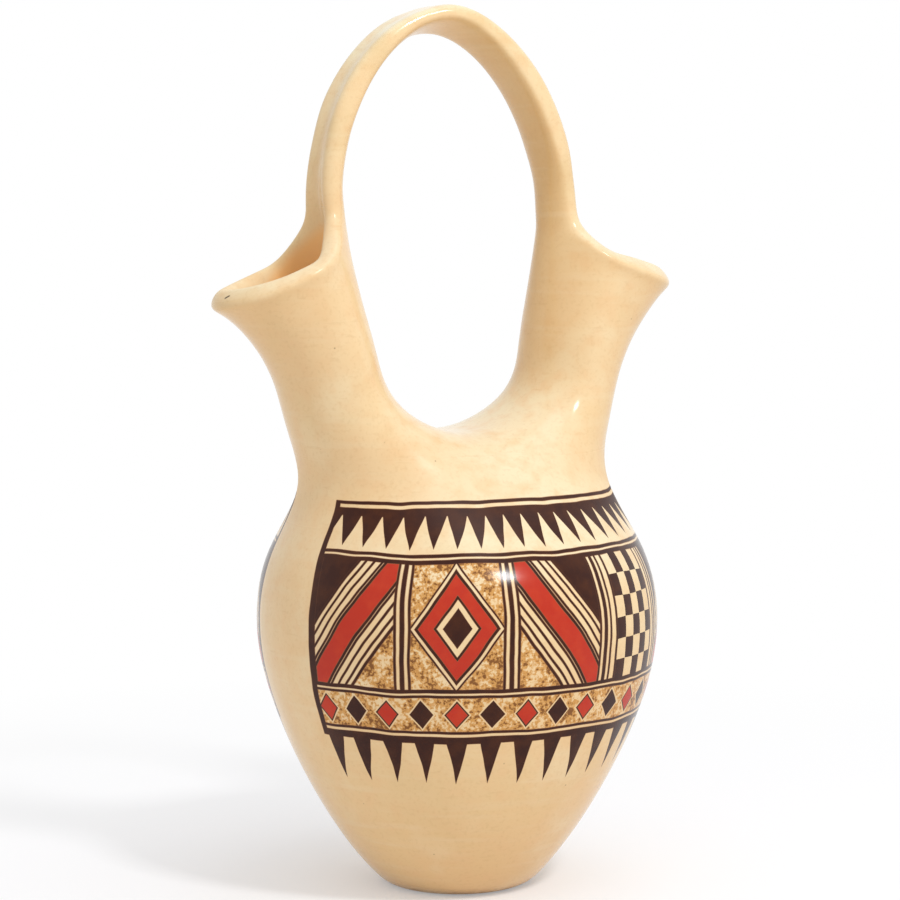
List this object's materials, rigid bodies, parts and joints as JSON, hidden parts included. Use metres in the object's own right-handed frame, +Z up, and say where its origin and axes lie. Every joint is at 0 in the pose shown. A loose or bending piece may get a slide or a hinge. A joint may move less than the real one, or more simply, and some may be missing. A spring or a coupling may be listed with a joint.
{
  "type": "wedding vase",
  "caption": "Round-bodied ceramic vase that branches into twin flared pouring spouts joined by an arched strap handle.",
  "frame": {"origin": "centre of the flat foot, on the surface that the vase stands on", "axes": "+Z up the body, +X towards the right-hand spout, -Y towards the painted front"},
  "size_m": [0.1726, 0.1374, 0.3001],
  "materials": {
    "painted_slip": "stone-burnished buff slip with a satin gloss and dark brown, rust red and ochre slip painting",
    "foot_clay": "buff fired clay, rubbed on the underside"
  },
  "bodies": {
    "root": {"base": "foot_clay", "lower_body": "painted_slip", "shoulder": "painted_slip", "left_spout": "painted_slip", "right_spout": "painted_slip", "handle": "painted_slip"}
  },
  "joints": []
}
